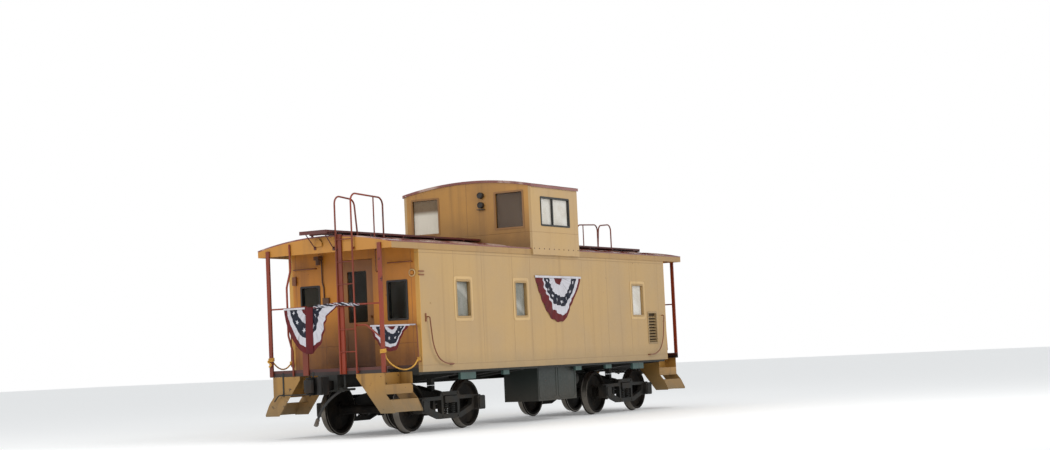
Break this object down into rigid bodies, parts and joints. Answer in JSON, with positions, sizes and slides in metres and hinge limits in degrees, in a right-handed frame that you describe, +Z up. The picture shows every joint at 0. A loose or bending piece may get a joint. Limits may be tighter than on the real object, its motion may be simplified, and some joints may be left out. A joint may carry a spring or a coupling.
{
  "type": "cupola caboose",
  "caption": "Railway cupola caboose: hollow steel cabin with a glazed cupola, end platforms with stairs, roof ladders, knuckle couplers, and trucks that swivel under it.",
  "frame": {"origin": "on the floor under the middle of the car, where the wheel flanges stand", "axes": "+X along the car towards end b, +Y across it, +Z up"},
  "size_m": [12.211, 2.912, 4.6496],
  "materials": {
    "side_paint": "tan enamel, semi-gloss, lightly weathered",
    "end_paint": "ochre-brown enamel, semi-gloss",
    "fascia_paint": "pale ochre enamel",
    "roof_paint": "dark red roof paint, glossy where worn",
    "board_paint": "dark red painted planks",
    "deck_steel": "worn deck paint",
    "rail_paint": "orange-red enamel, chipped",
    "step_paint": "ochre enamel, worn treads",
    "frame_black": "flat black underframe paint",
    "window_black": "black enamel",
    "louvre_paint": "brown-grey enamel",
    "glass": "clear window glass, slightly grey",
    "cast_steel": "cast steel, dark and dusty",
    "spring_steel": "coil springs, dark",
    "wheel_steel": "dark wheels with bright treads",
    "hand_wheel_paint": "black enamel",
    "bunting_cloth": "red, white and navy cotton",
    "rope_yellow": "yellow laid rope",
    "hose_rubber": "black rubber hose",
    "coupling_iron": "cast, worn grey"
  },
  "bodies": {
    "carbody": {"side_wall_near": "side_paint", "side_wall_off": "side_paint", "cupola_sides": "side_paint", "end_walls": "end_paint", "cupola_ends": "end_paint", "fascias": "fascia_paint", "roofs": "roof_paint", "cupola_roof": "roof_paint", "running_boards": "board_paint", "floor": "deck_steel", "railing_a": "rail_paint", "railing_b": "rail_paint", "ladder_a": "rail_paint", "ladder_b": "rail_paint", "end_beams": "rail_paint", "grab_irons": "rail_paint", "stairs_a": "step_paint", "stairs_b": "step_paint", "centre_sill": "frame_black", "strikers": "frame_black", "side_sills": "frame_black", "cross_bearers": "frame_black", "equipment_box": "frame_black", "air_reservoir": "frame_black", "brake_housing": "frame_black", "uncoupling_levers": "frame_black", "angle_cocks": "frame_black", "lamps": "frame_black", "window_frames": "window_black", "louvres": "louvre_paint", "window_panes": "glass", "bunting_side": "bunting_cloth", "bunting_rail": "bunting_cloth", "bunting_stairs": "bunting_cloth", "rope_near": "rope_yellow", "rope_far": "rope_yellow", "air_hose": "hose_rubber", "hose_coupling": "coupling_iron"},
    "truck_a": {"side_frames_a": "cast_steel", "bolster_a": "cast_steel", "springs_a": "spring_steel", "brake_beams_a": "cast_steel"},
    "truck_b": {"side_frames_b": "cast_steel", "bolster_b": "cast_steel", "springs_b": "spring_steel", "brake_beams_b": "cast_steel"},
    "wheels_a1": {"wheelset_a1": "wheel_steel"},
    "wheels_a2": {"wheelset_a2": "wheel_steel"},
    "wheels_b1": {"wheelset_b1": "wheel_steel"},
    "wheels_b2": {"wheelset_b2": "wheel_steel"},
    "leaf_a": {"door_a": "end_paint", "door_glass_a": "glass"},
    "leaf_b": {"door_b": "end_paint", "door_glass_b": "glass"},
    "drawbar_a": {"coupler_a": "cast_steel"},
    "drawbar_b": {"coupler_b": "cast_steel"},
    "jaw_a": {"knuckle_a": "cast_steel"},
    "jaw_b": {"knuckle_b": "cast_steel"},
    "hand_wheel": {"brake_wheel": "hand_wheel_paint"}
  },
  "joints": [
    {"name": "truck_a_swivel", "type": "hinge", "parent": "carbody", "child": "truck_a", "pos_m": [-3.4, 0, 0.83], "axis": [0, 0, 1], "range_deg": [-6, 6]},
    {"name": "wheels_a1_spin", "type": "hinge", "parent": "truck_a", "child": "wheels_a1", "pos_m": [-4.315, 0, 0.448], "axis": [0, 1, 0], "continuous": true},
    {"name": "wheels_a2_spin", "type": "hinge", "parent": "truck_a", "child": "wheels_a2", "pos_m": [-2.485, 0, 0.448], "axis": [0, 1, 0], "continuous": true},
    {"name": "door_a_hinge", "type": "hinge", "parent": "carbody", "child": "leaf_a", "pos_m": [-4.674, 0.29579, 2.115], "axis": [0, 0, 1], "range_deg": [0, 100]},
    {"name": "coupler_a_swing", "type": "hinge", "parent": "carbody", "child": "drawbar_a", "pos_m": [-5.15, 0, 0.9], "axis": [0, 0, 1], "range_deg": [-6, 6]},
    {"name": "knuckle_a_hinge", "type": "hinge", "parent": "drawbar_a", "child": "jaw_a", "pos_m": [-5.945, 0.125, 0.9], "axis": [0, 0, -1], "range_deg": [0, 45]},
    {"name": "truck_b_swivel", "type": "hinge", "parent": "carbody", "child": "truck_b", "pos_m": [3.4, 0, 0.83], "axis": [0, 0, 1], "range_deg": [-6, 6]},
    {"name": "wheels_b1_spin", "type": "hinge", "parent": "truck_b", "child": "wheels_b1", "pos_m": [4.315, 0, 0.448], "axis": [0, 1, 0], "continuous": true},
    {"name": "wheels_b2_spin", "type": "hinge", "parent": "truck_b", "child": "wheels_b2", "pos_m": [2.485, 0, 0.448], "axis": [0, 1, 0], "continuous": true},
    {"name": "door_b_hinge", "type": "hinge", "parent": "carbody", "child": "leaf_b", "pos_m": [4.674, -0.29579, 2.115], "axis": [0, 0, 1], "range_deg": [0, 100]},
    {"name": "coupler_b_swing", "type": "hinge", "parent": "carbody", "child": "drawbar_b", "pos_m": [5.15, 0, 0.9], "axis": [0, 0, 1], "range_deg": [-6, 6]},
    {"name": "knuckle_b_hinge", "type": "hinge", "parent": "drawbar_b", "child": "jaw_b", "pos_m": [5.945, -0.125, 0.9], "axis": [0, 0, -1], "range_deg": [0, 45]},
    {"name": "hand_wheel_spin", "type": "hinge", "parent": "carbody", "child": "hand_wheel", "pos_m": [5.365, 0.35, 2.08], "axis": [1, 0, 0], "continuous": true}
  ]
}
